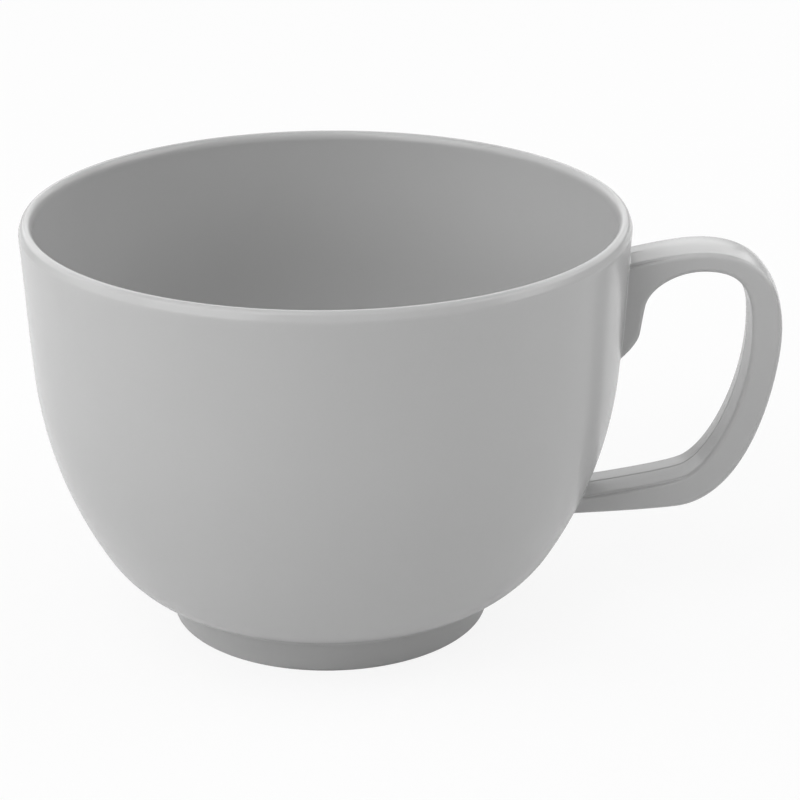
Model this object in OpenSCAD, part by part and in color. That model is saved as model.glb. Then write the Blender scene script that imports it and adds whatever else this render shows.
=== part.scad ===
// Melamine soup mug: a deep round bowl, a beaded rim, a short foot ring and a loop handle.
// Millimetres. The origin is on the bowl's axis at the table. +Z is up and the handle is on +X.

/* [Bowl] */
// Height from the table to the top of the rim
mug_h = 88; // [82:0.5:96]
// Diameter over the rim bead
rim_d = 124.6; // [118:0.1:134]
// Thickness of the moulded wall and floor
wall = 2.4; // [1.8:0.1:3]
// Lean of the side at the rim, in degrees
side_draft = 0.7; // [0.3:0.1:1.5]
// Radius of the barrelled upper side, seen in profile
side_r = 460; // [340:10:700]
// Height of the upper side, down from the seat of the rim
side_h = 29; // [25:0.5:33]
// Radius of the belly, seen in profile
belly_r = 86; // [80:0.5:94]
// Radius of the heel that turns in under the belly
heel_r = 25; // [20:0.5:29]
// Height of the flat underside above the table
base_lift = 6.1; // [4.5:0.1:8]

/* [Rim bead] */
// Height of the bead, from its seat on the wall to the lip
rim_h = 3; // [2.8:0.1:4.5]
// How far the bead stands out from the side
rim_overhang = 0.4; // [0.3:0.05:0.6]
// Radius of the lip's inner edge
lip_edge_r = 1; // [0.7:0.05:1.1]
// Height of the slope under the bead
rim_slope_h = 0.7; // [0.3:0.1:0.9]

/* [Foot ring] */
// Diameter of the foot at the table
foot_d = 67.2; // [62:0.2:74]
// Lean of the foot's two sides, in degrees
foot_draft = 7; // [2:0.5:12]
// Width of the foot's section at the table
foot_wall = 3.8; // [3:0.1:5]
// Radius of the foot's two lower edges
foot_edge_r = 0.7; // [0.4:0.1:1.2]

/* [Handle] */
// Width of the handle across its flat sides
handle_w = 12.6; // [10.5:0.1:15]
// How far the edges of the grip stand out from the side of the bowl
handle_reach = 31.6; // [27:0.1:36]
// Distance from the lip down to the edges of the handle at its crest
crest_drop = 6.95; // [6:0.05:9.5]
// Distance from the side of the bowl out to the crest
crest_out = 15.2; // [13:0.1:17]
// Drop from the crest to where the grip stands out furthest
grip_drop = 18.1; // [15.5:0.1:21.5]
// Distance from the side of the bowl out to the end of the lower bend
bend_out = 13; // [11:0.25:14.5]
// Drop from the crest to the end of the lower bend
bend_drop = 55.9; // [51:0.1:60]
// Rise of the upper arm from its root to the crest
arm_rise = 2.5; // [1.8:0.1:3.5]
// Fall of the lower arm from the end of the bend to its root
arm_fall = 2.2; // [1.5:0.1:3]
// Thickness of the upper arm at the crest, between its edges
arm_t = 4.1; // [3.4:0.1:5]
// Thickness of the grip where it stands out furthest, between its edges
grip_t = 6.2; // [5.4:0.1:7.2]
// Upright thickness at the end of the lower bend, between the edges
bend_t = 6.8; // [5.8:0.1:7.8]
// Upright thickness of the lower arm at its root, between the edges
root_t = 4.1; // [3.4:0.1:5]
// Radius of the handle's long edges
edge_r = 1; // [0.5:0.1:1.1]

/* [Tongue under the upper root] */
// Drop from the underside of the crest to the upper end of the tongue
throat_h = 7.4; // [6:0.2:9]
// Length of the tongue along the side
tongue_h = 12; // [9:0.5:14]
// Height of the tongue's rounded tip
tip_h = 6; // [4.5:0.5:7.5]
// How far the tongue's edges stand out from the side above its tip
tongue_t = 3.2; // [2.6:0.1:3.8]
// How far the tongue's edges stand out from the side at its upper end
throat_t = 3.8; // [3.2:0.1:4.4]

/* [Mould line] */
// Rise of the handle's inner face from its edges to the mould line along its middle
inner_crown = 0.6; // [0.3:0.05:0.9]
// Rise of the handle's outer face from its edges to the mould line along its middle
outer_crown = 0.35; // [0.2:0.05:0.6]

/* [Seams] */
// Gap left at each seam, so that neighbouring solids meet without sharing space
seam = 0.02; // [0.01:0.01:0.1]
// Depth that the ends of the handle run into the side before they are trimmed to it
root_bite = 4; // [3:0.5:6]

/* [Hidden] */
$fn = 128;
// Steps round a whole circle of the bowl's profile, which uses a short arc of it
profile_steps = 720;
melamine = [0.65, 0.65, 0.65];

// The bowl's profile is three arcs that flow into each other, then a flat floor
rim_seat_z = mug_h - rim_h;
side_top = rim_d / 2 - rim_overhang;
side_turn = asin(sin(side_draft) + side_h / side_r);
side_c = [side_top - side_r * cos(side_draft), rim_seat_z + side_r * sin(side_draft)];
belly_c = side_c + (side_r - belly_r) * [cos(side_turn), -sin(side_turn)];
heel_z = base_lift + heel_r;
belly_turn = asin((belly_c.y - heel_z) / (belly_r - heel_r));
heel_c = [belly_c.x + (belly_r - heel_r) * cos(belly_turn), heel_z];

// Heights at which the arcs join, and of the floor, at a given depth into the wall
function side_join_z(inset) = side_c.y - (side_r - inset) * sin(side_turn);
function belly_join_z(inset) = belly_c.y - (belly_r - inset) * sin(belly_turn);
function floor_z(inset) = heel_z - (heel_r - inset);

// Outside radius of the bowl at height z
function arc_x(centre, radius, z) = centre.x + sqrt(radius ^ 2 - (z - centre.y) ^ 2);
function bowl_r(z) =
    z > side_join_z(0) ? arc_x(side_c, side_r, z) :
    z > belly_join_z(0) ? arc_x(belly_c, belly_r, z) : arc_x(heel_c, heel_r, z);

// One level band of the profile, cut out of a full circle
module profile_band(centre, radius, z_low, z_high) {
    intersection() {
        translate(centre) circle(radius, $fn = profile_steps);
        translate([0, z_low]) square([rim_d, z_high - z_low]);
    }
}

// Filled half profile of the bowl, at a given depth into the wall
module bowl_profile(inset) {
    profile_band(side_c, side_r - inset, side_join_z(inset), rim_seat_z);
    profile_band(belly_c, belly_r - inset, belly_join_z(inset), side_join_z(inset));
    profile_band(heel_c, heel_r - inset, floor_z(inset), belly_join_z(inset));
    translate([0, floor_z(inset)]) square([heel_c.x, belly_join_z(inset) - floor_z(inset)]);
}

module bowl() {
    color(melamine) rotate_extrude() difference() {
        bowl_profile(0);
        bowl_profile(wall);
    }
}

// The lip has a small round on the inside that runs into the larger round of the bead
module rim_section() {
    lip_r = side_top - wall;
    crest_r = lip_r + lip_edge_r;
    bead_r = rim_d / 2 - crest_r;
    bead_z = mug_h - bead_r;
    seat_z = rim_seat_z + seam;
    slope_z = rim_seat_z + rim_slope_h;
    translate([crest_r, mug_h - lip_edge_r]) circle(lip_edge_r);
    translate([lip_r, seat_z]) square([lip_edge_r, mug_h - lip_edge_r - seat_z]);
    intersection() {
        translate([crest_r, bead_z]) circle(bead_r);
        translate([crest_r, bead_z]) square(bead_r);
    }
    polygon([
        [crest_r, seat_z],
        [side_top, seat_z],
        [rim_d / 2, slope_z],
        [rim_d / 2, bead_z],
        [crest_r, bead_z],
    ]);
}

module rim_bead() {
    color(melamine) rotate_extrude() rim_section();
}

// The foot's section reaches up into the bowl's heel, which trims it
module foot_section() {
    outer = foot_d / 2;
    inner = outer - foot_wall;
    lean = heel_z * tan(foot_draft);
    round_w = foot_edge_r * tan(45 - foot_draft / 2);
    round_end = round_w * [sin(foot_draft), cos(foot_draft)];
    polygon([
        [inner + round_w, 0],
        [outer - round_w, 0],
        [outer + round_end.x, round_end.y],
        [outer + lean, heel_z],
        [inner - lean, heel_z],
        [inner - round_end.x, round_end.y],
    ]);
    for (edge_x = [inner + round_w, outer - round_w])
        translate([edge_x, foot_edge_r]) circle(foot_edge_r);
}

module foot_ring() {
    color(melamine) rotate_extrude() difference() {
        foot_section();
        bowl_profile(-seam);
    }
}

// The handle is a sweep between two curves in the XZ plane, its outer edges and its inner edges.
// Each curve runs through pen points: place, heading in degrees, and the reach of its tangents.
crest_z = mug_h - crest_drop;
crest_x = side_top + crest_out;
grip_x = side_top + handle_reach;
grip_z = crest_z - grip_drop;
bend_x = side_top + bend_out;
bend_z = crest_z - bend_drop;
root_z = bend_z - arm_fall;
throat_z = crest_z - arm_t - throat_h;
tip_z = throat_z - tongue_h;

// Headings of the curves, in degrees up from straight out
arm_lean = 13;
tip_lean = 30;
tongue_lean = 81;
throat_lean = 79;
bend_lean = 195;
inner_bend_lean = 206;
root_lean = 183;
inner_root_lean = 187;

// Fullness of the bends: how far along the way to the next point a tangent reaches
arm_full = 0.35;
upper_full = 0.655;
inner_upper_full = 0.74;
grip_full = 0.2;
inner_grip_full = 0.42;
bend_full = 0.82;
inner_bend_full = 0.55;
root_full = 0.3;
tip_full = 0.4;
throat_full = 0.5;

function heading(angle) = [cos(angle), sin(angle)];
function pen(at, angle, reach_in, reach_out) =
    [at - reach_in * heading(angle), at, at + reach_out * heading(angle)];

// Points along one stretch of a curve, without its last point
function stretch(from, to, count) = [
    for (i = [0 : count - 1])
        let (t = i / count, s = 1 - t)
            s ^ 3 * from[1] + 3 * s ^ 2 * t * from[2] + 3 * s * t ^ 2 * to[0] + t ^ 3 * to[1]
];
function curve(pens, counts) = [
    for (i = [0 : len(counts) - 1]) each stretch(pens[i], pens[i + 1], counts[i]),
    pens[len(counts)][1],
];

// The outer curve starts inside the wall behind the tongue and runs up there to the root of the arm
outer_start = [bowl_r(tip_z) - 2 * root_bite, tip_z];
outer_root = [side_top - root_bite, crest_z - arm_rise - root_bite * tan(arm_lean)];
outer_end = [bowl_r(root_z) - root_bite, root_z - root_bite * tan(root_lean)];
outer_pens = [
    pen(outer_start, 90, 0, 0),
    pen(outer_root, arm_lean, 0, arm_full * (crest_out + root_bite)),
    pen([crest_x, crest_z], 0, arm_full * crest_out, upper_full * (grip_x - crest_x)),
    pen([grip_x, grip_z], -90, upper_full * grip_drop, grip_full * (grip_z - bend_z)),
    pen([bend_x, bend_z], bend_lean, bend_full * (grip_x - bend_x), root_full * bend_out),
    pen(outer_end, root_lean, root_full * bend_out, 0),
];

tip = [bowl_r(tip_z), tip_z];
tongue_top = [bowl_r(tip_z + tip_h) + tongue_t, tip_z + tip_h];
throat = [bowl_r(throat_z) + throat_t, throat_z];
inner_crest = [crest_x, crest_z - arm_t];
inner_grip_x = grip_x - grip_t;
inner_bend = [bend_x, bend_z + bend_t];
inner_upper_h = inner_crest.y - grip_z;
inner_grip_h = grip_z - inner_bend.y;
inner_end_z = root_z + root_t;
inner_end = [bowl_r(inner_end_z) - root_bite, inner_end_z - root_bite * tan(inner_root_lean)];
inner_pens = [
    pen(tip - root_bite * heading(tip_lean), tip_lean, 0, root_bite),
    pen(tongue_top, tongue_lean, tip_full * tip_h, tip_full * (tongue_h - tip_h)),
    pen(throat, throat_lean, tip_full * (tongue_h - tip_h), throat_full * throat_h),
    pen(inner_crest, 0, throat_full * (crest_x - throat.x), inner_upper_full * (inner_grip_x - crest_x)),
    pen([inner_grip_x, grip_z], -90, inner_upper_full * inner_upper_h, inner_grip_full * inner_grip_h),
    pen(inner_bend, inner_bend_lean, inner_bend_full * (inner_grip_x - bend_x), root_full * bend_out),
    pen(inner_end, inner_root_lean, root_full * bend_out, 0),
];

// Rings along each stretch. The outer stretch inside the wall pairs with the tip and the tongue.
tip_rings = 9;
tongue_rings = 4;
throat_rings = 11;
upper_rings = 16;
grip_rings = 20;
lower_rings = 10;
outer_rings = [tip_rings + tongue_rings, throat_rings, upper_rings, grip_rings, lower_rings];
inner_rings = [tip_rings, tongue_rings, throat_rings, upper_rings, grip_rings, lower_rings];
corner_steps = 4;

// Round corner of the handle's section, as points about its centre
function corner(centre, start) = [
    for (i = [0 : corner_steps]) centre + edge_r * heading(start + 90 * i / corner_steps)
];

// Section of the handle: first value across the width, second from the inner edges outwards
function section(thickness) =
    let (
        corner_u = handle_w / 2 - edge_r,
        outer_v = thickness - edge_r
    ) [
        each corner([-corner_u, edge_r], 180),
        [0, -inner_crown],
        each corner([corner_u, edge_r], 270),
        each corner([corner_u, outer_v], 0),
        [0, thickness + outer_crown],
        each corner([-corner_u, outer_v], 90),
    ];

// One ring of the sweep, from a point on the inner curve to its partner on the outer curve
function ring(inner, outer) =
    let (thickness = norm(outer - inner), out = (outer - inner) / thickness)
        [for (p = section(thickness)) [inner.x + p.y * out.x, p.x, inner.y + p.y * out.y]];

module handle_sweep() {
    outer = curve(outer_pens, outer_rings);
    inner = curve(inner_pens, inner_rings);
    rings = [for (i = [0 : len(outer) - 1]) ring(inner[i], outer[i])];
    count = len(rings[0]);
    last = len(rings) - 1;
    walls = [
        for (i = [0 : last - 1], j = [0 : count - 1])
            let (a = i * count + j, b = i * count + (j + 1) % count)
                each [[a, b + count, b], [a, a + count, b + count]]
    ];
    start_cap = [for (j = [0 : count - 1]) j];
    end_cap = [for (j = [count - 1 : -1 : 0]) last * count + j];
    polyhedron([for (r = rings) each r], [each walls, start_cap, end_cap], convexity = 8);
}

module handle() {
    color(melamine) difference() {
        handle_sweep();
        rotate_extrude() bowl_profile(-seam);
    }
}

bowl();
rim_bead();
foot_ring();
handle();
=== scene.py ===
"""Melamine soup mug: a deep bowl with a thick rim, a foot ring and a loop handle, on a pale table."""

import bpy
import numpy as np
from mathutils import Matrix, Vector


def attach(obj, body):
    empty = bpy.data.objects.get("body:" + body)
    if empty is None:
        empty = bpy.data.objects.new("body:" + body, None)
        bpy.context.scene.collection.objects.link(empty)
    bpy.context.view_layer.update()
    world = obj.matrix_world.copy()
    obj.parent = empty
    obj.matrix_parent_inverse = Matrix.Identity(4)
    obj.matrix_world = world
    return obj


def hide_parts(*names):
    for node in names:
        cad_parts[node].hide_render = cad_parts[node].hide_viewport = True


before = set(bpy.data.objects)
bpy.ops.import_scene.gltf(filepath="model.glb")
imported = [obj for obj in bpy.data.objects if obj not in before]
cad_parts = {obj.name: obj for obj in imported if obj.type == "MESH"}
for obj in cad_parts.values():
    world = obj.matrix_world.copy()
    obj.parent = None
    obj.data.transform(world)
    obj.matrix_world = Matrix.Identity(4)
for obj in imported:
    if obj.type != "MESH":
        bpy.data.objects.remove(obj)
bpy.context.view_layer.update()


# Bowl: the deep cup of the mug, moulded in grey melamine with one even wall. In profile its outside is a
# nearly upright side, a belly and a heel that flow into each other, over a flat floor. It is turned from
# that profile, and the rim, the foot and the handle grow out of it. Sizes are in millimetres.
mm = 0.001
mug_h = 88.0
rim_d = 124.6
rim_h = 3.0
rim_overhang = 0.4
rim_flare = 0.38
flare_h = 13.0
wall = 2.4
side_draft = np.radians(0.7)
side_r = 460.0
side_h = 29.0
belly_r = 86.0
heel_r = 25.0
base_lift = 6.1
floor_steps = 14
heel_steps = 40
belly_steps = 30
side_steps = 26
round_steps = 288
weld_gap = 0.002
turned_crease = np.radians(28)

grey = 0.41
bowl_roughness = 0.2
melamine_ior = 1.4
tone_spread = 0.015
roughness_spread = 0.03
clouds_per_metre = 55.0
specks_per_metre = 2600.0
grains_per_metre = 900.0
grain_strength = 0.12
grain_h = 0.02

rim_seat_z = mug_h - rim_h
side_top = rim_d / 2 - rim_overhang
side_turn = np.arcsin(np.sin(side_draft) + side_h / side_r)
side_c = np.array([side_top - side_r * np.cos(side_draft), rim_seat_z + side_r * np.sin(side_draft)])
belly_c = side_c + (side_r - belly_r) * np.array([np.cos(side_turn), -np.sin(side_turn)])
heel_z = base_lift + heel_r
belly_turn = np.arcsin((belly_c[1] - heel_z) / (belly_r - heel_r))
heel_c = np.array([belly_c[0] + (belly_r - heel_r) * np.cos(belly_turn), heel_z])


def arc(centre, radius, start, end, steps):
    """Points of an arc of a profile, as radius and height. The angles are in radians from straight out."""
    turn = np.linspace(start, end, steps + 1)
    return np.column_stack([centre[0] + radius * np.cos(turn), centre[1] + radius * np.sin(turn)])


def straight(start, end, steps):
    """Evenly spaced points of a straight stretch of a profile."""
    return np.linspace(start, end, steps + 1)


def bowl_side(inset):
    """The bowl's profile at a depth into the wall, from the axis along the floor and up to the rim."""
    floor_z = heel_z - (heel_r - inset)
    top = np.arcsin((rim_seat_z - side_c[1]) / (side_r - inset))
    return np.concatenate([
        straight((0.0, floor_z), (heel_c[0], floor_z), floor_steps)[:-1],
        arc(heel_c, heel_r - inset, -np.pi / 2, -belly_turn, heel_steps)[:-1],
        arc(belly_c, belly_r - inset, -belly_turn, -side_turn, belly_steps)[:-1],
        arc(side_c, side_r - inset, -side_turn, top, side_steps),
    ])


def flare(z):
    """How far the outside widens at a height on its way up to the rim."""
    return rim_flare * np.clip((z - rim_seat_z + flare_h) / flare_h, 0.0, 1.0) ** 2


def add_node(tree, kind, values=None, **settings):
    """A new node in a tree, with its settings and then the values of its inputs."""
    made = tree.nodes.new(kind)
    for name, value in settings.items():
        setattr(made, name, value)
    for name, value in (values or {}).items():
        made.inputs[name].default_value = value
    return made


def join_nodes(tree, joints):
    """Links each output to its input in a tree."""
    for start, end in joints:
        tree.links.new(start, end)


def turning_tree():
    """Nodes that turn a chain of profile points in the XZ plane into a closed skin round the Z axis."""
    tree = bpy.data.node_groups.new("turned_from_profile", "GeometryNodeTree")
    for name, kind in [
        ("Profile", "NodeSocketGeometry"),
        ("Steps round", "NodeSocketInt"),
        ("Weld distance", "NodeSocketFloat"),
        ("Crease angle", "NodeSocketFloat"),
        ("Finish", "NodeSocketMaterial"),
    ]:
        tree.interface.new_socket(name, in_out="INPUT", socket_type=kind)
    tree.interface.new_socket("Skin", in_out="OUTPUT", socket_type="NodeSocketGeometry")

    given = add_node(tree, "NodeGroupInput")
    result = add_node(tree, "NodeGroupOutput")
    size = add_node(tree, "GeometryNodeAttributeDomainSize", component="MESH")
    columns = add_node(tree, "FunctionNodeIntegerMath", {1: 1}, operation="ADD")
    grid = add_node(tree, "GeometryNodeMeshGrid")
    index = add_node(tree, "GeometryNodeInputIndex")
    column = add_node(tree, "FunctionNodeIntegerMath", operation="DIVIDE_FLOOR")
    row = add_node(tree, "FunctionNodeIntegerMath", operation="MODULO")
    place = add_node(tree, "GeometryNodeInputPosition")
    sample = add_node(tree, "GeometryNodeSampleIndex", data_type="FLOAT_VECTOR", domain="POINT")
    step = add_node(tree, "ShaderNodeMath", {0: 2 * np.pi}, operation="DIVIDE")
    turn = add_node(tree, "ShaderNodeMath", operation="MULTIPLY")
    rotate = add_node(tree, "ShaderNodeVectorRotate", rotation_type="Z_AXIS")
    move = add_node(tree, "GeometryNodeSetPosition")
    weld = add_node(tree, "GeometryNodeMergeByDistance")
    smooth = add_node(tree, "GeometryNodeSetShadeSmooth", domain="FACE")
    angle = add_node(tree, "GeometryNodeInputMeshEdgeAngle")
    gentle = add_node(tree, "FunctionNodeCompare", data_type="FLOAT", operation="LESS_THAN")
    crease = add_node(tree, "GeometryNodeSetShadeSmooth", domain="EDGE")
    realize = add_node(tree, "GeometryNodeRealizeInstances")
    finish = add_node(tree, "GeometryNodeSetMaterial")
    join_nodes(tree, [
        (given.outputs["Profile"], size.inputs["Geometry"]),
        (given.outputs["Steps round"], columns.inputs[0]),
        (columns.outputs[0], grid.inputs["Vertices X"]),
        (size.outputs["Point Count"], grid.inputs["Vertices Y"]),
        (index.outputs[0], column.inputs[0]),
        (size.outputs["Point Count"], column.inputs[1]),
        (index.outputs[0], row.inputs[0]),
        (size.outputs["Point Count"], row.inputs[1]),
        (given.outputs["Profile"], sample.inputs["Geometry"]),
        (place.outputs[0], sample.inputs["Value"]),
        (row.outputs[0], sample.inputs["Index"]),
        (given.outputs["Steps round"], step.inputs[1]),
        (step.outputs[0], turn.inputs[0]),
        (column.outputs[0], turn.inputs[1]),
        (sample.outputs["Value"], rotate.inputs["Vector"]),
        (turn.outputs[0], rotate.inputs["Angle"]),
        (grid.outputs["Mesh"], move.inputs["Geometry"]),
        (rotate.outputs["Vector"], move.inputs["Position"]),
        (move.outputs["Geometry"], weld.inputs["Geometry"]),
        (given.outputs["Weld distance"], weld.inputs["Distance"]),
        (weld.outputs["Geometry"], smooth.inputs["Geometry"]),
        (smooth.outputs["Geometry"], crease.inputs["Geometry"]),
        (angle.outputs["Unsigned Angle"], gentle.inputs["A"]),
        (given.outputs["Crease angle"], gentle.inputs["B"]),
        (gentle.outputs["Result"], crease.inputs["Shade Smooth"]),
        (crease.outputs["Geometry"], realize.inputs["Geometry"]),
        (realize.outputs["Geometry"], finish.inputs["Geometry"]),
        (given.outputs["Finish"], finish.inputs["Material"]),
        (finish.outputs["Geometry"], result.inputs["Skin"]),
    ])
    return tree


def turned(name, tree, profile, material):
    """A piece turned from a profile of radius and height in millimetres, as a plain mesh."""
    points = [(r * mm, 0.0, z * mm) for r, z in profile]
    chain = bpy.data.meshes.new(name + "_profile")
    chain.from_pydata(points, [(i, i + 1) for i in range(len(points) - 1)], [])
    piece = bpy.data.objects.new(name, chain)
    bpy.context.scene.collection.objects.link(piece)
    modifier = piece.modifiers.new("turned", "NODES")
    modifier.node_group = tree
    settings = {
        "Steps round": round_steps,
        "Weld distance": weld_gap * mm,
        "Crease angle": float(turned_crease),
        "Finish": material,
    }
    for socket in tree.interface.items_tree:
        if socket.in_out == "INPUT" and socket.name in settings:
            modifier[socket.identifier] = settings[socket.name]
    ready = bpy.context.evaluated_depsgraph_get()
    skin = bpy.data.meshes.new_from_object(piece.evaluated_get(ready), depsgraph=ready)
    piece.modifiers.clear()
    piece.data = skin
    skin.name = name
    bpy.data.meshes.remove(chain)
    return piece


def tint(shade):
    """An even grey of a shade, as a colour."""
    return shade, shade, shade, 1.0


def melamine(name, roughness):
    """Moulded grey melamine: an even grey with faint clouds and fine fibre specks, under a satin gloss."""
    material = bpy.data.materials.new(name)
    material.use_nodes = True
    tree = material.node_tree
    surface = tree.nodes["Principled BSDF"]
    surface.inputs["IOR"].default_value = melamine_ior
    darkest = tint(grey * (1 - tone_spread))
    palest = tint(grey * (1 + tone_spread))
    smoothest = roughness - roughness_spread
    roughest = roughness + roughness_spread

    where = add_node(tree, "ShaderNodeTexCoord")
    cloud = add_node(tree, "ShaderNodeTexNoise", {"Scale": clouds_per_metre, "Detail": 3.0})
    speck = add_node(tree, "ShaderNodeTexNoise", {"Scale": specks_per_metre, "Detail": 2.0})
    grain = add_node(tree, "ShaderNodeTexNoise", {"Scale": grains_per_metre, "Detail": 4.0})
    blend = add_node(tree, "ShaderNodeMath", operation="ADD")
    tone = add_node(tree, "ShaderNodeMapRange", {"From Min": 0.5, "From Max": 1.5})
    colour = add_node(tree, "ShaderNodeMix", {"A": darkest, "B": palest}, data_type="RGBA")
    polish = add_node(tree, "ShaderNodeMapRange", {"To Min": smoothest, "To Max": roughest})
    bump = add_node(tree, "ShaderNodeBump", {"Strength": grain_strength, "Distance": grain_h * mm})
    join_nodes(tree, [
        (where.outputs["Object"], cloud.inputs["Vector"]),
        (where.outputs["Object"], speck.inputs["Vector"]),
        (where.outputs["Object"], grain.inputs["Vector"]),
        (cloud.outputs["Fac"], blend.inputs[0]),
        (speck.outputs["Fac"], blend.inputs[1]),
        (blend.outputs[0], tone.inputs["Value"]),
        (tone.outputs["Result"], colour.inputs["Factor"]),
        (colour.outputs["Result"], surface.inputs["Base Color"]),
        (cloud.outputs["Fac"], polish.inputs["Value"]),
        (polish.outputs["Result"], surface.inputs["Roughness"]),
        (grain.outputs["Fac"], bump.inputs["Height"]),
        (bump.outputs["Normal"], surface.inputs["Normal"]),
    ])
    return material


turning = turning_tree()
bowl_outside = bowl_side(0.0)
bowl_outside[:, 0] += flare(bowl_outside[:, 1])
bowl_profile = np.concatenate([bowl_outside, bowl_side(wall)[::-1]])
bowl = turned("bowl_shell", turning, bowl_profile, melamine("bowl_melamine", bowl_roughness))
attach(bowl, "root")
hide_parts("bowl")


# Rim bead: the thick lip of the mug, in the same melamine and moulded with the bowl. A long round on the
# inside runs over the crest into a band, which leans out to a rounded shoulder where the side begins.
lip_edge_r = 1.2
lip_round_h = 2.0
band_lean = np.radians(22)
shoulder_r = 1.8
rim_roughness = 0.18
seat_steps = 4
rim_foot_steps = 2
shoulder_steps = 12
band_steps = 6
crest_steps = 12
inside_steps = 20

lip_r = bowl_side(wall)[-1][0]
lip_c = np.array([lip_r + lip_edge_r, mug_h - lip_edge_r])
shoulder_x = rim_d / 2 - shoulder_r
band_drop = ((shoulder_x - lip_c[0]) * np.cos(band_lean) + shoulder_r - lip_edge_r) / np.sin(band_lean)
shoulder_c = np.array([shoulder_x, lip_c[1] - band_drop])
side_lean = np.arctan(2 * rim_flare / flare_h)
shoulder_round = arc(shoulder_c, shoulder_r, -side_lean, band_lean, shoulder_steps)
crest_round = arc(lip_c, lip_edge_r, band_lean, np.pi / 2, crest_steps)
inside_turn = np.linspace(np.pi / 2, np.pi, inside_steps + 1)
inside_round = np.column_stack([
    lip_c[0] + lip_edge_r * np.cos(inside_turn),
    mug_h - lip_round_h + lip_round_h * np.sin(inside_turn),
])
rim_inner_foot = (lip_r, rim_seat_z)
rim_outer_foot = (side_top + rim_flare, rim_seat_z)
rim_profile = np.concatenate([
    straight(rim_inner_foot, rim_outer_foot, seat_steps)[:-1],
    straight(rim_outer_foot, shoulder_round[0], rim_foot_steps)[:-1],
    shoulder_round[:-1],
    straight(shoulder_round[-1], crest_round[0], band_steps)[:-1],
    crest_round[:-1],
    inside_round[:-1],
    straight(inside_round[-1], rim_inner_foot, seat_steps),
])
rim = turned("rim_lip", turning, rim_profile, melamine("rim_melamine", rim_roughness))
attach(rim, "root")
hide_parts("rim_bead")


# Foot ring: the short ring that the mug stands on, in the same melamine and moulded with the bowl. Its sides
# lean in towards the table, its two lower edges are rounded, and a soft round joins it to the bowl's heel.
foot_d = 67.2
foot_draft = np.radians(7)
foot_wall = 3.8
foot_edge_r = 0.7
foot_cove_r = 3.0
foot_sink = 0.8
foot_roughness = 0.25
foot_edge_steps = 8
flank_steps = 8
foot_cove_steps = 10
standing_steps = 6
cove_tries = 4000


def foot_flank(at_table, side):
    """One flank of the foot from its lower edge to the bowl: 1 for the outside and -1 for the inside."""
    lean = np.array([side * np.sin(foot_draft), np.cos(foot_draft)])
    out = np.array([side * np.cos(foot_draft), -np.sin(foot_draft)])
    edge_w = foot_edge_r * np.tan(np.pi / 4 - foot_draft / 2)
    edge_c = np.array([at_table - side * edge_w, foot_edge_r])
    edge_turn = np.linspace(-np.pi / 2, -foot_draft, foot_edge_steps + 1)
    edge = edge_c + foot_edge_r * np.column_stack([side * np.cos(edge_turn), np.sin(edge_turn)])
    climb = np.linspace(0.0, heel_z, cove_tries)[:, None]
    cove_path = np.array([at_table, 0.0]) + foot_cove_r * out + climb * lean
    gap = np.hypot(np.maximum(cove_path[:, 0] - heel_c[0], 0.0), cove_path[:, 1] - heel_z) - heel_r
    cove_c = cove_path[np.argmax(gap < foot_cove_r)]
    from_heel = cove_c - np.array([min(cove_c[0], heel_c[0]), heel_z])
    from_heel /= np.linalg.norm(from_heel)
    roll = np.linspace(0.0, 1.0, foot_cove_steps + 1)[:, None]
    toward = -out * (1 - roll) - from_heel * roll
    cove = cove_c + foot_cove_r * toward / np.linalg.norm(toward, axis=1, keepdims=True)
    end = cove[-1] - foot_sink * from_heel
    return np.concatenate([edge, straight(edge[-1], cove[0], flank_steps)[1:-1], cove, [end]])


foot_outside = foot_flank(foot_d / 2, 1)
foot_inside = foot_flank(foot_d / 2 - foot_wall, -1)
foot_profile = np.concatenate([
    straight(foot_inside[0], foot_outside[0], standing_steps)[:-1],
    foot_outside,
    foot_inside[::-1],
])
foot = turned("foot_base", turning, foot_profile, melamine("foot_melamine", foot_roughness))
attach(foot, "root")
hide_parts("foot_ring")


# Handle: the loop at the side, in the same melamine and moulded with the bowl. A flat bar bends round from
# just under the rim to the belly, and a tongue runs down the wall under its upper root. Its faces rise to
# their middle, its edges are stepped near the roots, and a small round joins both roots to the wall.
handle_w = 12.6
handle_reach = 31.6
crest_drop = 6.95
crest_out = 15.2
grip_drop = 18.1
bend_out = 13.0
bend_drop = 55.9
arm_rise = 2.5
arm_fall = 2.2
arm_t = 4.1
grip_t = 6.2
bend_t = 6.8
root_t = 4.1
throat_h = 7.4
tongue_h = 12.0
tip_h = 6.0
tongue_t = 3.2
throat_t = 3.8
root_bite = 4.0
outer_edge_r = 1.15
inner_edge_r = 1.0
outer_crown = 0.35
inner_crown = 0.4
inner_ridge = 0.35
lower_arm_ridge = 0.15
mould_line_w = 0.25
mould_line_depth = 0.1
outer_line_run = 6.0
outer_step_full = 2.0
outer_step_end = 13.0
inner_step_fade = 4.0
upper_cove_r = 0.35
lower_cove_r = 1.1
tip_cove_r = 0.3
root_sink = 0.6
joint_sink = 0.03
handle_roughness = 0.2
handle_crease = np.radians(40)

# The leans are headings of the two curves, in degrees up from straight out. A fullness is the length of a
# curve's tangent as a share of the stretch that it belongs to.
arm_lean = 13
bend_lean = 195
root_lean = 183
tip_lean = 30
tongue_lean = 81
throat_lean = 79
inner_bend_lean = 206
inner_root_lean = 187
straight_out = 0
straight_up = 90
straight_down = -90
arm_full = 0.35
upper_full = 0.655
grip_full = 0.2
bend_full = 0.82
root_full = 0.3
tip_full = 0.4
throat_full = 0.5
inner_upper_full = 0.74
inner_grip_full = 0.42
inner_bend_full = 0.55


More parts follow.
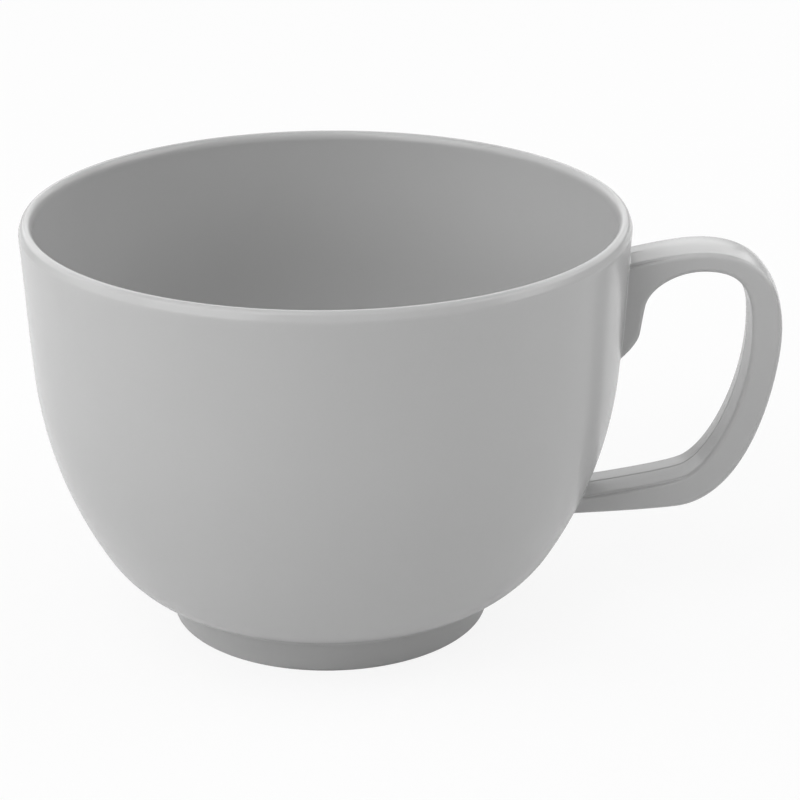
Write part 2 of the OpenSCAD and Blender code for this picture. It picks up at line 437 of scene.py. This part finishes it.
def bowl_r(z):
    """Outside radius of the bowl at a height."""
    side_join = side_c[1] - side_r * np.sin(side_turn)
    belly_join = belly_c[1] - belly_r * np.sin(belly_turn)
    on_side = side_c[0] + np.sqrt(np.maximum(side_r ** 2 - (z - side_c[1]) ** 2, 0.0))
    on_belly = belly_c[0] + np.sqrt(np.maximum(belly_r ** 2 - (z - belly_c[1]) ** 2, 0.0))
    on_heel = heel_c[0] + np.sqrt(np.maximum(heel_r ** 2 - (z - heel_c[1]) ** 2, 0.0))
    return np.where(z > side_join, on_side, np.where(z > belly_join, on_belly, on_heel)) + flare(z)


def heading(angle):
    """Direction at an angle in degrees up from straight out."""
    return np.array([np.cos(np.radians(angle)), np.sin(np.radians(angle))])


def slope(angle):
    """Rise over run at an angle in degrees up from straight out."""
    return np.tan(np.radians(angle))


def pen(at, angle, reach_in, reach_out):
    """A point that a curve runs through, with the two ends of its tangent."""
    at = np.array(at)
    return at - reach_in * heading(angle), at, at + reach_out * heading(angle)


def follow(pens, counts, travel):
    """Points and directions of a curve through pens. Travel counts steps, so many for each stretch."""
    starts = np.concatenate([[0], np.cumsum(counts)])
    piece = np.clip(np.searchsorted(starts, travel, side="right") - 1, 0, len(counts) - 1)
    t = ((travel - starts[piece]) / np.array(counts)[piece])[..., None]
    s = 1 - t
    a = np.array([pens[i][1] for i in range(len(counts))])[piece]
    b = np.array([pens[i][2] for i in range(len(counts))])[piece]
    c = np.array([pens[i + 1][0] for i in range(len(counts))])[piece]
    d = np.array([pens[i + 1][1] for i in range(len(counts))])[piece]
    at = s ** 3 * a + 3 * s ** 2 * t * b + 3 * s * t ** 2 * c + t ** 3 * d
    way = s ** 2 * (b - a) + 2 * s * t * (c - b) + t ** 2 * (d - c)
    return at, way / np.linalg.norm(way, axis=-1, keepdims=True)


crest_x = side_top + crest_out
crest_z = mug_h - crest_drop
grip_x = side_top + handle_reach
grip_z = crest_z - grip_drop
bend_x = side_top + bend_out
bend_z = crest_z - bend_drop
root_z = bend_z - arm_fall
throat_z = crest_z - arm_t - throat_h
tip_z = throat_z - tongue_h
throat_x = bowl_r(throat_z) + throat_t
inner_grip_x = grip_x - grip_t
inner_upper_h = grip_drop - arm_t
inner_bend_z = bend_z + bend_t
inner_grip_h = grip_z - inner_bend_z
inner_end_z = root_z + root_t

# The outer curve starts inside the wall behind the tongue's tip, and both curves end inside the wall.
outer_start = (bowl_r(tip_z) - 2 * root_bite, tip_z)
outer_root = (side_top - root_bite, crest_z - arm_rise - root_bite * slope(arm_lean))
outer_end = (bowl_r(root_z) - root_bite, root_z - root_bite * slope(root_lean))
outer_pens = [
    pen(outer_start, straight_up, 0, 3 * root_bite),
    pen(outer_root, arm_lean, root_bite, arm_full * (crest_out + root_bite)),
    pen((crest_x, crest_z), straight_out, arm_full * crest_out, upper_full * (grip_x - crest_x)),
    pen((grip_x, grip_z), straight_down, upper_full * grip_drop, grip_full * (grip_z - bend_z)),
    pen((bend_x, bend_z), bend_lean, bend_full * (grip_x - bend_x), root_full * bend_out),
    pen(outer_end, root_lean, root_full * bend_out, 0),
]
tip = np.array([bowl_r(tip_z), tip_z])
tongue_top = (bowl_r(tip_z + tip_h) + tongue_t, tip_z + tip_h)
throat = (throat_x, throat_z)
inner_crest = (crest_x, crest_z - arm_t)
inner_grip = (inner_grip_x, grip_z)
inner_bend = (bend_x, inner_bend_z)
inner_end = (bowl_r(inner_end_z) - root_bite, inner_end_z - root_bite * slope(inner_root_lean))
inner_crest_out = inner_upper_full * (inner_grip_x - crest_x)
inner_pens = [
    pen(tip - root_bite * heading(tip_lean), tip_lean, 0, root_bite),
    pen(tongue_top, tongue_lean, tip_full * tip_h, tip_full * (tongue_h - tip_h)),
    pen(throat, throat_lean, tip_full * (tongue_h - tip_h), throat_full * throat_h),
    pen(inner_crest, straight_out, throat_full * (crest_x - throat_x), inner_crest_out),
    pen(inner_grip, straight_down, inner_upper_full * inner_upper_h, inner_grip_full * inner_grip_h),
    pen(inner_bend, inner_bend_lean, inner_bend_full * (inner_grip_x - bend_x), root_full * bend_out),
    pen(inner_end, inner_root_lean, root_full * bend_out, 0),
]

# Steps along each stretch of the two curves. A ring of the skin joins places of equal travel, so both lists
# add up to the same at the crest, at the grip, at the bend and at the end.
outer_counts = [13, 11, 16, 20, 10]
inner_counts = [9, 4, 11, 16, 20, 10]
root_run = 4.5
body_start = outer_counts[0] + root_run
grip_travel = float(sum(outer_counts[:3]))
travel_end = float(sum(outer_counts))
lower_root_start = travel_end - outer_counts[-1]


def ease(share):
    """A share from 0 to 1 that starts and stops gently."""
    share = np.clip(share, 0.0, 1.0)
    return share * share * (3 - 2 * share)


def outer_forms(at, travel):
    """How far the outer face has stepped edges, a mould line and a ridge at places along it."""
    from_wall = at[:, 0] - side_top
    upper_half = travel < grip_travel
    step = ease((outer_step_end - from_wall) / (outer_step_end - outer_step_full)) * upper_half
    line = ease(1 - from_wall / outer_line_run) * upper_half
    return step, line, line


def inner_forms(at, travel):
    """How far the inner face has stepped edges, a mould line and a ridge at places along it."""
    lower_half = travel > grip_travel
    step = ease((bend_x + inner_step_fade - at[:, 0]) / (2 * inner_step_fade)) * lower_half
    line = np.ones(len(travel))
    ridge = inner_ridge + (lower_arm_ridge - inner_ridge) * step
    return step, line, ridge


def stepped_edge(radius, turn, step):
    """Place on an edge's round, as distance in from the side and depth below the face. Turn runs from the
    side at 0 to the face at a quarter turn. Step blends the plain round into two small ones with a ledge."""
    half = radius / 2
    small = 2 * turn if turn <= np.pi / 4 else 2 * turn - np.pi / 2
    on_ledge = 0.0 if turn <= np.pi / 4 else half
    plain = np.array([radius * (1 - np.cos(turn)), radius * (1 - np.sin(turn))])
    ledged = np.array([on_ledge + half * (1 - np.cos(small)), half - on_ledge + half * (1 - np.sin(small))])
    return plain[:, None] + (ledged - plain)[:, None] * step


def strand_points(strand, travel):
    """Points of one strand of the handle's skin along its travel, and the way that the skin faces there.
    On a face the strand's place is its turn round the edge and then its share of the way to the middle."""
    kind, side, turn, share = strand
    outer_at, outer_way = follow(outer_pens, outer_counts, travel)
    inner_at, inner_way = follow(inner_pens, inner_counts, travel)
    outer_face = np.column_stack([-outer_way[:, 1], outer_way[:, 0]])
    inner_face = np.column_stack([inner_way[:, 1], -inner_way[:, 0]])
    half_w = handle_w / 2
    if kind == "side":
        top = outer_at - outer_face * outer_edge_r
        bottom = inner_at - inner_face * inner_edge_r
        at, face = top + (bottom - top) * share, outer_face
        across = np.full(len(travel), half_w)
        tilt_out, tilt_side = 0.0, 1.0
    else:
        if kind == "outer":
            at, face, radius, crown = outer_at, outer_face, outer_edge_r, outer_crown
            step, line, ridge = outer_forms(at, travel)
        else:
            at, face, radius, crown = inner_at, inner_face, inner_edge_r, inner_crown
            step, line, ridge = inner_forms(at, travel)
        inward, depth = stepped_edge(radius, turn, step)
        flat = half_w - radius
        across = half_w - inward - flat * share
        on_line = max(0.0, 1 - flat * (1 - share) / mould_line_w)
        dome = np.sin(share * np.pi / 2)
        depth = depth - crown * (dome + (share - dome) * ridge) + mould_line_depth * on_line * line
        at = at - face * depth[:, None]
        tilt_out, tilt_side = np.sin(turn), np.cos(turn)
    points = np.column_stack([at[:, 0], side * across, at[:, 1]])
    sideways = np.full(len(at), side * tilt_side)
    facing = np.column_stack([face[:, 0] * tilt_out, sideways, face[:, 1] * tilt_out])
    return points, facing


# The strands go once round the bar: over its outer face, down one side, over its inner face and up the other
# side. They lie close together on the rounded edges and beside the mould line.
edge_steps = 16
edge_turns = np.radians(np.linspace(0.0, 90.0, edge_steps + 1))
from_mould_line = [0.6, 0.35, 0.25, 0.17, 0.08, 0.0]
line_shares = [1 - away / (handle_w / 2 - inner_edge_r) for away in from_mould_line]
face_shares = [0.05, 0.12, 0.24, 0.4, 0.56, 0.72, 0.84] + line_shares
side_shares = [0.03, 0.08, 0.16, 0.27, 0.4, 0.53, 0.66, 0.78, 0.88, 0.95]
half_face = [(turn, 0.0) for turn in edge_turns] + [(np.pi / 2, share) for share in face_shares]

strands = [("outer", -1, turn, share) for turn, share in half_face]
strands += [("outer", 1, turn, share) for turn, share in half_face[-2::-1]]
strands += [("side", 1, 0.0, share) for share in side_shares]
strands += [("inner", 1, turn, share) for turn, share in half_face]
strands += [("inner", -1, turn, share) for turn, share in half_face[-2::-1]]
strands += [("side", -1, 0.0, share) for share in side_shares[::-1]]


def wall_gap(points):
    """Distance of points from the outside of the bowl, and the way that the bowl faces there."""
    reach = np.hypot(points[:, 0], points[:, 1])
    lift = 0.01
    lean = (bowl_r(points[:, 2] + lift) - bowl_r(points[:, 2] - lift)) / (2 * lift)
    level = 1 / np.sqrt(1 + lean ** 2)
    out = np.column_stack([points[:, 0] / reach * level, points[:, 1] / reach * level, -lean * level])
    return (reach - bowl_r(points[:, 2])) * level, out


cove_turns = np.radians(np.arange(10, 91, 10))
cove_narrows_from = 0.6
root_tries = 3000


def cove_radius(strand, upper):
    """Radius of the round that joins a strand to the wall. On the sides it narrows towards the tongue."""
    kind, _, _, share = strand
    if not upper:
        return lower_cove_r
    if kind == "inner":
        return tip_cove_r
    if kind == "side":
        narrowed = max(0.0, (share - cove_narrows_from) / (1 - cove_narrows_from))
        return upper_cove_r + (tip_cove_r - upper_cove_r) * narrowed
    return upper_cove_r


def root_rows(strand, upper):
    """Rows of one strand at a root, from inside the wall over the round at the joint, and where they end."""
    radius = cove_radius(strand, upper)
    start, end = (0.0, body_start) if upper else (travel_end, lower_root_start)
    span = np.linspace(start, end, root_tries)
    points, facing = strand_points(strand, span)
    gap, out = wall_gap(points)
    gap = np.maximum.accumulate(gap)
    contact = np.argmax(gap > 0)
    tangent = facing[contact] - np.dot(facing[contact], out[contact]) * out[contact]
    tangent /= np.linalg.norm(tangent)
    places = [(-root_sink, radius), (-joint_sink, radius)]
    places += [(radius * (1 - np.cos(turn)), radius * (1 - np.sin(turn))) for turn in cove_turns]
    rows = []
    for distance, spread in places:
        here = np.interp(distance, gap, np.arange(len(span)))
        low = int(min(here, len(span) - 2))
        mix = here - low
        at = points[low] * (1 - mix) + points[low + 1] * mix
        rows.append(at + tangent * spread)
    return np.array(rows), np.interp(radius, gap, span)


root_steps = 45
body_steps = 165
root_shares = np.linspace(0.0, 1.0, root_steps + 1)[1:]
body_shares = np.linspace(0.0, 1.0, body_steps + 1)[1:-1]
skin = []
for strand in strands:
    upper_rows, upper_travel = root_rows(strand, True)
    lower_rows, lower_travel = root_rows(strand, False)
    body, _ = strand_points(strand, np.concatenate([
        upper_travel + (body_start - upper_travel) * root_shares,
        body_start + (lower_travel - body_start) * body_shares,
    ]))
    skin.append(np.concatenate([upper_rows, body, lower_rows[::-1]]))
skin = np.array(skin)
strand_count, ring_count = skin.shape[:2]


def corner_of(ring, strand):
    """Number of the skin's point on a ring and a strand."""
    return ring * strand_count + strand % strand_count


faces = []
for ring in range(ring_count - 1):
    for strand in range(strand_count):
        faces.append((
            corner_of(ring, strand),
            corner_of(ring + 1, strand),
            corner_of(ring + 1, strand + 1),
            corner_of(ring, strand + 1),
        ))

# Both ends, inside the wall, are closed by rungs from one side of the bar to the other.
outer_middle = len(half_face) - 1
for ring, flip in ((0, False), (ring_count - 1, True)):
    for step in range(strand_count // 2):
        rung = [
            outer_middle + step,
            outer_middle + step + 1,
            outer_middle - step - 1,
            outer_middle - step,
        ]
        corners = list(dict.fromkeys(corner_of(ring, strand) for strand in rung))
        faces.append(tuple(corners[::-1] if flip else corners))

handle_mesh = bpy.data.meshes.new("handle_loop")
handle_mesh.from_pydata((skin.transpose(1, 0, 2).reshape(-1, 3) * mm).tolist(), [], faces)
handle_mesh.shade_smooth()
handle_mesh.set_sharp_from_angle(angle=float(handle_crease))
handle_mesh.materials.append(melamine("handle_melamine", handle_roughness))
handle = bpy.data.objects.new("handle_loop", handle_mesh)
bpy.context.scene.collection.objects.link(handle)
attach(handle, "root")
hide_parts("handle")


# Table: a plain white sheet under the mug, open under the foot so that a lamp below lights the underside.
# The camera sees it as white paper with a faint shadow of the mug, the gloss sees it with the whole shadow,
# and from below it isn't shown.
table_r = 3000.0
table_opening_r = 32.5
table_steps = 96
paper_shade = 0.85
mirrored_shade = 0.72
mirrored_strength = 0.1
shadow_shade = 0.1
shown_strength = 0.87


def white_paper():
    """The sheet's paper, with its own tones for the light on the mug, the gloss and the camera."""
    material = bpy.data.materials.new("white_paper")
    material.use_nodes = True
    tree = material.node_tree
    tree.nodes.clear()
    ray = add_node(tree, "ShaderNodeLightPath")
    face = add_node(tree, "ShaderNodeNewGeometry")
    lit = add_node(tree, "ShaderNodeBsdfDiffuse", {"Color": tint(paper_shade)})
    mirrored_paper = add_node(tree, "ShaderNodeBsdfDiffuse", {"Color": tint(mirrored_shade)})
    mirrored_glow = add_node(tree, "ShaderNodeEmission", {"Strength": mirrored_strength})
    mirrored = add_node(tree, "ShaderNodeAddShader")
    shadow = add_node(tree, "ShaderNodeBsdfDiffuse", {"Color": tint(shadow_shade)})
    glow = add_node(tree, "ShaderNodeEmission", {"Strength": shown_strength})
    shown = add_node(tree, "ShaderNodeAddShader")
    seen = add_node(tree, "ShaderNodeMath", operation="MAXIMUM")
    lit_or_mirrored = add_node(tree, "ShaderNodeMixShader")
    from_above = add_node(tree, "ShaderNodeMixShader")
    clear = add_node(tree, "ShaderNodeBsdfTransparent")
    either_side = add_node(tree, "ShaderNodeMixShader")
    out = add_node(tree, "ShaderNodeOutputMaterial")
    join_nodes(tree, [
        (mirrored_glow.outputs[0], mirrored.inputs[0]),
        (mirrored_paper.outputs[0], mirrored.inputs[1]),
        (glow.outputs[0], shown.inputs[0]),
        (shadow.outputs[0], shown.inputs[1]),
        (ray.outputs["Is Glossy Ray"], lit_or_mirrored.inputs[0]),
        (lit.outputs[0], lit_or_mirrored.inputs[1]),
        (mirrored.outputs[0], lit_or_mirrored.inputs[2]),
        (ray.outputs["Is Camera Ray"], seen.inputs[0]),
        (ray.outputs["Is Transmission Ray"], seen.inputs[1]),
        (seen.outputs[0], from_above.inputs[0]),
        (lit_or_mirrored.outputs[0], from_above.inputs[1]),
        (shown.outputs[0], from_above.inputs[2]),
        (face.outputs["Backfacing"], either_side.inputs[0]),
        (from_above.outputs[0], either_side.inputs[1]),
        (clear.outputs[0], either_side.inputs[2]),
        (either_side.outputs[0], out.inputs["Surface"]),
    ])
    return material


table_turns = np.linspace(0.0, 2 * np.pi, table_steps, endpoint=False)
table_points = [
    (radius * mm * np.cos(turn), radius * mm * np.sin(turn), 0.0)
    for radius in (table_opening_r, table_r)
    for turn in table_turns
]
table_faces = [
    (step, step + table_steps, (step + 1) % table_steps + table_steps, (step + 1) % table_steps)
    for step in range(table_steps)
]
table_mesh = bpy.data.meshes.new("table")
table_mesh.from_pydata(table_points, [], table_faces)
table_mesh.materials.append(white_paper())
table = bpy.data.objects.new("table", table_mesh)
bpy.context.scene.collection.objects.link(table)


# Light: a dim white room with large soft lamps round the mug, and a key lamp in front on the left. The
# camera sees the room as a white backdrop, and the gloss sees it white on the left and darker on the right.
room_strength = 0.05
backdrop_strength = 1.0
left_gloss = 1.0
right_gloss = 0.5
gloss_turns_from = -0.1
gloss_turns_to = 0.7
lamp_distance = 1200.0
lamp_size = 900.0
mug_middle_z = 45.0


def white_room():
    """The world round the mug, with its own tones for the light on it, the gloss and the camera."""
    world = bpy.data.worlds.new("white_room")
    world.use_nodes = True
    tree = world.node_tree
    tree.nodes.clear()
    white = tint(1.0)
    ray = add_node(tree, "ShaderNodeLightPath")
    where = add_node(tree, "ShaderNodeTexCoord")
    split = add_node(tree, "ShaderNodeSeparateXYZ")
    to_right = add_node(tree, "ShaderNodeMapRange", {
        "From Min": gloss_turns_from,
        "From Max": gloss_turns_to,
        "To Min": left_gloss,
        "To Max": right_gloss,
    }, interpolation_type="SMOOTHSTEP")
    room = add_node(tree, "ShaderNodeBackground", {"Color": white, "Strength": room_strength})
    mirrored_room = add_node(tree, "ShaderNodeBackground", {"Color": white})
    backdrop = add_node(tree, "ShaderNodeBackground", {"Color": white, "Strength": backdrop_strength})
    seen = add_node(tree, "ShaderNodeMath", operation="MAXIMUM")
    lit_or_mirrored = add_node(tree, "ShaderNodeMixShader")
    all_rays = add_node(tree, "ShaderNodeMixShader")
    out = add_node(tree, "ShaderNodeOutputWorld")
    join_nodes(tree, [
        (where.outputs["Generated"], split.inputs[0]),
        (split.outputs["X"], to_right.inputs["Value"]),
        (to_right.outputs["Result"], mirrored_room.inputs["Strength"]),
        (ray.outputs["Is Glossy Ray"], lit_or_mirrored.inputs[0]),
        (room.outputs[0], lit_or_mirrored.inputs[1]),
        (mirrored_room.outputs[0], lit_or_mirrored.inputs[2]),
        (ray.outputs["Is Camera Ray"], seen.inputs[0]),
        (ray.outputs["Is Transmission Ray"], seen.inputs[1]),
        (seen.outputs[0], all_rays.inputs[0]),
        (lit_or_mirrored.outputs[0], all_rays.inputs[1]),
        (backdrop.outputs[0], all_rays.inputs[2]),
        (all_rays.outputs[0], out.inputs["Surface"]),
    ])
    return world


def softbox(name, azimuth, elevation, watts):
    """A square soft lamp that faces the mug. Azimuth turns from the camera's side to the handle's side."""
    round_by, up_by = np.radians(azimuth), np.radians(elevation)
    way = Vector((np.sin(round_by) * np.cos(up_by), -np.cos(round_by) * np.cos(up_by), np.sin(up_by)))
    lamp = bpy.data.lights.new(name, "AREA")
    lamp.shape = "SQUARE"
    lamp.size = lamp_size * mm
    lamp.energy = watts
    made = bpy.data.objects.new(name, lamp)
    made.location = Vector((0.0, 0.0, mug_middle_z * mm)) + lamp_distance * mm * way
    made.rotation_euler = way.to_track_quat("Z", "Y").to_euler()
    bpy.context.scene.collection.objects.link(made)


bpy.context.scene.world = white_room()
softbox("key_lamp", 315, 30, 6.7)
softbox("high_lamp", 315, 60, 4.0)
softbox("left_lamp", 270, 30, 4.3)
softbox("back_left_lamp", 225, 30, 3.4)
softbox("back_lamp", 180, 30, 2.2)
softbox("back_right_lamp", 135, 30, 3.8)
softbox("right_lamp", 90, 33, 6.9)
softbox("front_right_lamp", 45, 45, 1.3)
softbox("front_lamp", 0, 45, 1.7)
softbox("under_lamp", 0, -90, 9.0)


# Camera: at the height of a person seated at the table, a little to the right of the bowl's middle.
camera_lens = 109.23
camera_sensor = 36.0
camera_at = Vector((20.68, -473.55, 235.4))
camera_pitch = np.radians(68.2485)
camera_turn = np.radians(0.682)
camera_data = bpy.data.cameras.new("camera")
camera_data.sensor_width = camera_sensor
camera_data.lens = camera_lens
camera = bpy.data.objects.new("camera", camera_data)
camera.location = camera_at * mm
camera.rotation_euler = (camera_pitch, 0.0, camera_turn)
bpy.context.scene.collection.objects.link(camera)
bpy.context.scene.camera = camera
bpy.context.scene.view_settings.view_transform = "Standard"
